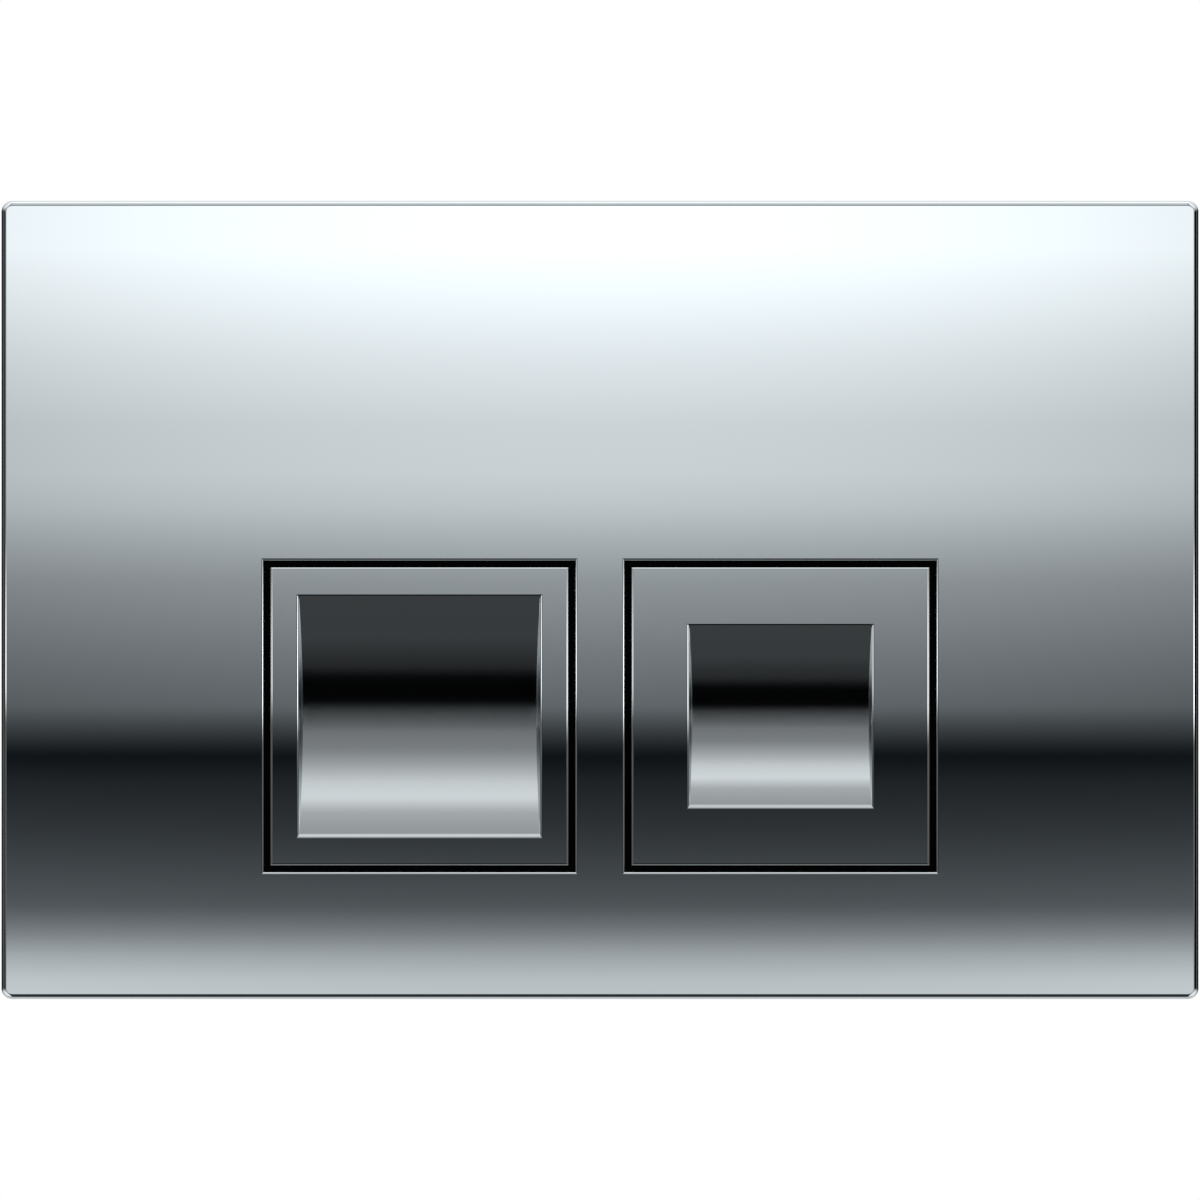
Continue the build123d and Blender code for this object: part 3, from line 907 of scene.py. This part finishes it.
class Lathe:
    """Turned and threaded shapes, drawn as a profile beside the axis and swept round it."""

    CUT_SLACK = 1e-7

    @staticmethod
    def profile(name: str, axis: Vector, points: Sequence[tuple[float, float]]) -> bpy.types.Object:
        """Draws an open profile by moving and extruding one vertex.

        Args:
            name: The new piece's name.
            axis: A point on the axis, which runs along Y.
            points: Each point's distance from the axis and its place along Y past that point.

        Returns:
            The piece, with its origin on the axis.
        """
        bpy.ops.object.select_all(action="DESELECT")
        bpy.ops.mesh.primitive_circle_add(vertices=3, radius=MM, location=axis)
        piece = bpy.context.object
        piece.name = name
        with editing(piece, "VERT"):
            bpy.ops.mesh.select_all(action="SELECT")
            bpy.ops.mesh.merge(type="CENTER")
            radius, along = points[0]
            bpy.ops.transform.translate(value=(radius, along, 0))
            for next_radius, next_along in points[1:]:
                step = (next_radius - radius, next_along - along, 0)
                bpy.ops.mesh.extrude_vertices_move(TRANSFORM_OT_translate={"value": step})
                radius, along = next_radius, next_along
        return piece

    @staticmethod
    def turn(piece: bpy.types.Object, steps: int = 48) -> bpy.types.Object:
        """Spins a closed profile round its axis.

        Args:
            piece: The drawn profile, which starts and ends on the axis.
            steps: Facets round the axis.

        Returns:
            The same piece, closed.
        """
        with editing(piece, "VERT"):
            bpy.ops.mesh.select_all(action="SELECT")
            bpy.ops.mesh.spin(steps=steps, angle=math.tau, center=piece.location, axis=(0, 1, 0))
            bpy.ops.mesh.select_all(action="SELECT")
            bpy.ops.mesh.remove_doubles(threshold=WELD)
            bpy.ops.mesh.normals_make_consistent(inside=False)
        return settle(piece)

    @classmethod
    def thread(cls, name: str, axis: Vector, end: float, form: ThreadForm) -> bpy.types.Object:
        """Cuts a screw thread between two flat ends.

        Args:
            name: The new piece's name.
            axis: The middle of the thread's front end.
            end: The thread's other end along Y.
            form: The thread's sizes.

        Returns:
            The threaded length, closed.
        """
        lead = Vector((0, form.lead_turns * form.pitch, 0))
        piece = cls.profile(name, axis - lead, form.profile())
        screw = piece.modifiers.new("turns", "SCREW")
        screw.axis = "Y"
        screw.screw_offset = form.pitch
        screw.iterations = math.ceil((end - axis.y) / form.pitch) + form.lead_turns + 1
        screw.steps = screw.render_steps = form.steps
        bpy.ops.object.modifier_apply(modifier=screw.name)
        with editing(piece, "VERT"):
            bpy.ops.mesh.select_all(action="SELECT")
            bpy.ops.mesh.remove_doubles(threshold=WELD)
            for place, way in ((axis.y, -1), (end, 1)):
                bpy.ops.mesh.select_all(action="SELECT")
                bpy.ops.mesh.bisect(
                    plane_co=(axis.x, place, axis.z),
                    plane_no=(0, way, 0),
                    use_fill=True,
                    clear_outer=True,
                    threshold=cls.CUT_SLACK,
                )
            bpy.ops.mesh.select_all(action="SELECT")
            bpy.ops.mesh.normals_make_consistent(inside=False)
        return settle(piece)


def settle(piece: bpy.types.Object, smooth_below: float = 35.0) -> bpy.types.Object:
    """Puts a finished piece's place into its mesh and smooths its round faces.

    Args:
        piece: The finished piece.
        smooth_below: The edge angle in degrees below which faces shade as one.

    Returns:
        The same piece.
    """
    pick(piece)
    bpy.ops.object.transform_apply(location=True, rotation=True, scale=True)
    bpy.ops.object.shade_smooth_by_angle(angle=math.radians(smooth_below))
    return piece


def join(name: str, pieces: Sequence[bpy.types.Object]) -> bpy.types.Object:
    """Joins shapes into one piece.

    Args:
        name: The joined piece's name.
        pieces: The shapes.

    Returns:
        The joined piece.
    """
    pick(*pieces)
    bpy.ops.object.join()
    joined = bpy.context.object
    joined.name = joined.data.name = name
    return joined


def soften(
    node: str,
    name: str,
    width: float,
    segments: int = 2,
    sharp_above: float = 40.0,
    flat_below: float = 1.0,
) -> bpy.types.Object:
    """Copies a solid and rounds its sharp edges a little, as a mould does.

    Args:
        node: The solid to copy.
        name: The copy's name.
        width: How wide the rounding is.
        segments: Facets across the rounding.
        sharp_above: The edge angle in degrees above which an edge is rounded.
        flat_below: The angle in degrees below which facets are taken as one flat face.

    Returns:
        The rounded copy.
    """
    piece = bpy.data.objects.new(name, frame["nodes"][node].data.copy())
    piece.data.name = name
    bpy.context.scene.collection.objects.link(piece)
    with editing(piece, "VERT"):
        bpy.ops.mesh.customdata_custom_splitnormals_clear()
        bpy.ops.mesh.select_all(action="SELECT")
        bpy.ops.mesh.remove_doubles(threshold=WELD)
        bpy.ops.mesh.dissolve_limited(angle_limit=math.radians(flat_below))
    bevel = piece.modifiers.new("eased_edges", "BEVEL")
    bevel.width = width
    bevel.segments = segments
    bevel.limit_method = "ANGLE"
    bevel.angle_limit = math.radians(sharp_above)
    bevel.use_clamp_overlap = False
    bpy.ops.object.modifier_apply(modifier=bevel.name)
    settle(piece, sharp_above)
    flats = piece.modifiers.new("level_flats", "WEIGHTED_NORMAL")
    flats.keep_sharp = True
    bpy.ops.object.modifier_apply(modifier=flats.name)
    return piece


def hand_over(
    piece: bpy.types.Object, material: bpy.types.Material, body: Body, slot: Slot, *nodes: str
) -> None:
    """Finishes a piece that stands for solids and lets it ride on their body.

    Args:
        piece: The modelled piece.
        material: Its finish.
        body: The body it moves with.
        slot: The record's slot that its finish comes from; not used.
        *nodes: The solids that it stands for.
    """
    piece.data.materials.clear()
    piece.data.materials.append(material)
    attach(piece, body.value)
    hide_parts(*nodes)
    LOG.info("%s: %d faces in place of %s", piece.name, len(piece.data.polygons), ", ".join(nodes))


@dataclass
class ReturnSpring:
    """A torsion spring of round wire, with one leg on the plate and the other on the button."""

    flush: str
    lever: Body
    wire: float = 0.8 * MM
    leg: float = 6.0 * MM
    turns: int = 2
    wire_facets: int = 12
    coil_facets: int = 40
    smooth_below: float = 60.0
    bend_inset: float = 0.45 * MM
    end_reach: float = 0.5 * MM

    def build(self, material: bpy.types.Material) -> None:
        """Winds the coil from a wire section, then draws out both legs.

        Args:
            material: The wire's finish.
        """
        node = f"{self.flush}_return_spring"
        low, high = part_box(node)
        pin_low, pin_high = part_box(f"{self.flush}_hinge_pin")
        axis = (pin_low + pin_high) / 2
        radius = axis.y - low.y - self.wire / 2
        start = low.x + self.wire / 2
        pitch = (high.x - low.x - self.wire) / self.turns
        bpy.ops.object.select_all(action="DESELECT")
        bpy.ops.mesh.primitive_circle_add(
            vertices=self.wire_facets, radius=self.wire / 2, location=(start, axis.y - radius, axis.z)
        )
        spring = bpy.context.object
        spring.name = f"{self.flush}_wire_spring"
        bpy.context.scene.cursor.location = (start, axis.y, axis.z)
        bpy.ops.object.origin_set(type="ORIGIN_CURSOR")
        coil = spring.modifiers.new("coil", "SCREW")
        coil.axis = "X"
        coil.screw_offset = pitch
        coil.iterations = self.turns
        coil.steps = coil.render_steps = self.coil_facets
        bpy.ops.object.modifier_apply(modifier=coil.name)
        with editing(spring, "VERT", "EDGE"):
            self.draw_leg(spring, start, self.leg)
            self.draw_leg(spring, start + pitch * self.turns, -self.leg)
            bpy.ops.mesh.select_all(action="SELECT")
            bpy.ops.mesh.normals_make_consistent(inside=False)
        settle(spring, self.smooth_below)
        spring.data.materials.append(material)
        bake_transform(spring)
        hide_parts(node)
        LOG.info("%s: coil %.1f mm across", spring.name, 2 * radius / MM)

    def draw_leg(self, spring: bpy.types.Object, place: float, reach: float) -> None:
        """Draws one open end of the wire out straight and closes it.

        Args:
            spring: The coil in edit mode.
            place: The end's place along X.
            reach: How far it is drawn up, or down if below zero.
        """
        mesh = bmesh.from_edit_mesh(spring.data)
        bpy.ops.mesh.select_all(action="DESELECT")
        for edge in mesh.edges:
            middle = (edge.verts[0].co + edge.verts[1].co) / 2 + spring.location
            edge.select_set(edge.is_boundary and abs(middle.x - place) < self.end_reach)
        bmesh.update_edit_mesh(spring.data)
        bpy.ops.mesh.extrude_region_move(TRANSFORM_OT_translate={"value": (0, 0, reach)})
        bpy.ops.mesh.edge_face_add()


@dataclass
class CoverPlate:
    """The chrome cover."""

    node: str = "front_plate"
    skin: float = 1.9 * MM
    rim_inset: float = 1.0 * MM

    def dress(self, effects: SharedEffects) -> None:
        """Plates the cover's front and sides.

        Args:
            effects: The shared node groups.
        """
        low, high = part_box(self.node)
        finish = PlatedFinish(
            "plate_chrome",
            skin_depth=low.y + self.skin,
            outer=(high.x - self.rim_inset, high.z - self.rim_inset),
        )
        frame["nodes"][self.node].material_slots[0].material = finish.make(effects)
        LOG.info("%s: plated, %.1f mm wide", self.node, (high.x - low.x) / MM)


@dataclass
class FlushButton:
    """One dished button with its pads, pin, spring, rod, cap and clip.

    Attributes:
        flush: The flush that the button gives, which its nodes are named after.
        dish_size: Width of the square dish.
    """

    flush: str
    dish_size: float
    lever: Body
    plunger: Body
    lip: float = 1.2 * MM
    skin: float = 1.1 * MM
    neck: float = 4.0 * MM
    tip: float = 0.5 * MM
    slack: float = 0.05 * MM
    rod_pitch: float = 1.5 * MM
    rod_thread_depth: float = 0.5 * MM
    rod_facets: int = 24
    pad_ease: float = 0.25 * MM
    cap_ease: float = 0.4 * MM
    clip_ease: float = 0.15 * MM

    def part(self, piece: str) -> bpy.types.Object:
        """Gives one of the button's solids."""
        return frame["nodes"][f"{self.flush}_{piece}"]

    def dress(self, effects: SharedEffects, finishes: dict[Slot, bpy.types.Material]) -> None:
        """Puts a finish on each solid.

        Args:
            effects: The shared node groups.
            finishes: The finishes that the pieces share.
        """
        rod_low, rod_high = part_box(f"{self.flush}_push_rod")
        axis = (rod_low + rod_high) / 2
        low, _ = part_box(f"{self.flush}_button")
        chrome = PlatedFinish(
            f"{self.flush}_chrome",
            skin_depth=low.y + self.skin,
            middle=(axis.x, axis.z),
            dish_half=self.dish_size / 2 + self.lip,
        )
        self.part("button").material_slots[0].material = chrome.make(effects)
        self.part("hinge_pin").material_slots[0].material = finishes[Slot.STEEL]
        for piece, slot, body, ease in (
            ("stop_pad_left", Slot.RUBBER, self.lever, self.pad_ease),
            ("stop_pad_right", Slot.RUBBER, self.lever, self.pad_ease),
            ("rod_cap", Slot.CAP, self.plunger, self.cap_ease),
            ("rod_clip", Slot.CAP, self.plunger, self.clip_ease),
        ):
            node = f"{self.flush}_{piece}"
            hand_over(soften(node, f"{node}_eased", ease), finishes[slot], body, slot, node)
        ReturnSpring(self.flush, self.lever).build(finishes[Slot.STEEL])
        self.build_rod(finishes[Slot.ROD])
        LOG.info("%s: dish %.1f mm wide", self.flush, self.dish_size / MM)

    def build_rod(self, material: bpy.types.Material) -> None:
        """Models the push rod: a smooth front, a square neck for the clip and a threaded tail.

        Args:
            material: The rod's finish.
        """
        node = f"{self.flush}_push_rod"
        low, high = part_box(node)
        clip_low, clip_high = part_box(f"{self.flush}_rod_clip")
        axis = (low + high) / 2
        radius = (high.x - low.x) / 2
        front_length = clip_low.y - self.slack - low.y
        front = Lathe.profile(
            f"{self.flush}_rod_front",
            Vector((axis.x, low.y, axis.z)),
            [
                (0.0, 0.0), (radius - self.tip, 0.0), (radius, self.tip),
                (radius, front_length), (0.0, front_length),
            ],
        )
        Lathe.turn(front)
        # The neck runs into the front and the tail by one slack each
        neck_middle = (axis.x, (clip_low.y + clip_high.y) / 2, axis.z)
        bpy.ops.mesh.primitive_cube_add(size=1.0, location=neck_middle)
        neck = bpy.context.object
        neck.scale = (self.neck, clip_high.y - clip_low.y + 4 * self.slack, self.neck)
        settle(neck)
        tail_start = Vector((axis.x, clip_high.y + self.slack, axis.z))
        form = ThreadForm(radius, self.rod_pitch, self.rod_thread_depth, self.rod_facets)
        tail = Lathe.thread(f"{self.flush}_rod_tail", tail_start, high.y, form)
        rod = join(f"{self.flush}_threaded_rod", [front, neck, tail])
        hand_over(rod, material, self.plunger, Slot.ROD, node)


@dataclass
class WallFrame:
    """The plastic frame behind the cover, with its studs and nuts."""

    plug_radius: float = 5.0 * MM
    plug_length: float = 18.0 * MM
    plug_overlap: float = 0.2 * MM
    barbs: int = 5
    barb_depth: float = 0.7 * MM
    barb_lead: float = 0.04
    nose_length: float = 1.5 * MM
    nose_taper: float = 1.2 * MM
    thread: ThreadForm = ThreadForm(radius=4.0 * MM, pitch=2.5 * MM, depth=0.7 * MM)
    frame_ease: float = 0.3 * MM
    nut_ease: float = 0.6 * MM

    def dress(self, finishes: dict[Slot, bpy.types.Material]) -> None:
        """Eases the moulded edges and models the studs.

        Args:
            finishes: The finishes that the pieces share.
        """
        for node, slot, ease in (
            ("mounting_frame", Slot.FRAME, self.frame_ease),
            ("fixing_nuts", Slot.STUD, self.nut_ease),
        ):
            hand_over(soften(node, f"{node}_eased", ease), finishes[slot], Body.PLATE, slot, node)
        self.build_studs(finishes[Slot.STUD])

    def build_studs(self, material: bpy.types.Material) -> None:
        """Models both studs: a coarse thread to the front and a barbed plug at the back.

        Args:
            material: The studs' finish.
        """
        low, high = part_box("fixing_studs")
        height = (low.z + high.z) / 2
        shapes = []
        for place in (low.x + self.plug_radius, high.x - self.plug_radius):
            plug_start = high.y - self.plug_length
            front = Vector((place, low.y, height))
            shapes.append(Lathe.thread("stud_thread", front, plug_start + self.plug_overlap, self.thread))
            plug = Lathe.profile("stud_plug", Vector((place, plug_start, height)), self.plug())
            shapes.append(Lathe.turn(plug))
        studs = join("threaded_studs", shapes)
        hand_over(studs, material, Body.PLATE, Slot.STUD, "fixing_studs")

    def plug(self) -> list[tuple[float, float]]:
        """Lays out the plug's profile of slanting barbs.

        Returns:
            The profile's points.
        """
        valley = self.plug_radius - self.barb_depth
        barb = (self.plug_length - self.nose_length) / self.barbs
        points = [(0.0, 0.0), (valley, 0.0)]
        for step in range(self.barbs):
            points.append((self.plug_radius, (step + self.barb_lead) * barb))
            points.append((valley, (step + 1) * barb))
        points.append((self.plug_radius - self.nose_taper, self.plug_length))
        points.append((0.0, self.plug_length))
        return points


def shared_finishes(effects: SharedEffects) -> dict[Slot, bpy.types.Material]:
    """Makes the finishes that several pieces share.

    Args:
        effects: The shared node groups.

    Returns:
        The finish of each slot.
    """
    mouldings = {
        Slot.FRAME: MouldedFinish("frame_moulding", (0.74, 0.75, 0.76), (0.66, 0.67, 0.68), 0.55),
        Slot.STUD: MouldedFinish("natural_nylon", (0.80, 0.78, 0.71), (0.73, 0.70, 0.61), 0.42),
        Slot.ROD: MouldedFinish("grey_acetal", (0.72, 0.73, 0.72), (0.64, 0.65, 0.64), 0.38),
        Slot.CAP: MouldedFinish("blue_acetal", (0.10, 0.25, 0.42), (0.07, 0.19, 0.34), 0.36),
        Slot.RUBBER: MouldedFinish("soft_rubber", (0.03, 0.03, 0.03), (0.02, 0.02, 0.02), 0.8, polish=0.15),
    }
    finishes = {slot: moulding.make(effects) for slot, moulding in mouldings.items()}
    finishes[Slot.STEEL] = DrawnSteelFinish().make()
    return finishes


def main() -> None:
    """Builds and dresses each sub-assembly in order, then the studio."""
    logging.basicConfig(level=logging.INFO, format="%(name)s: %(message)s")
    bpy.ops.object.select_all(action="DESELECT")
    effects = SharedEffects()
    finishes = shared_finishes(effects)
    CoverPlate().dress(effects)
    for button in (
        FlushButton("full_flush", dish_size=49.6 * MM, lever=Body.FULL_LEVER, plunger=Body.FULL_PLUNGER),
        FlushButton("part_flush", dish_size=37.5 * MM, lever=Body.PART_LEVER, plunger=Body.PART_PLUNGER),
    ):
        button.dress(effects, finishes)
    WallFrame().dress(finishes)
    Studio().build()


if __name__ == "__main__":
    main()
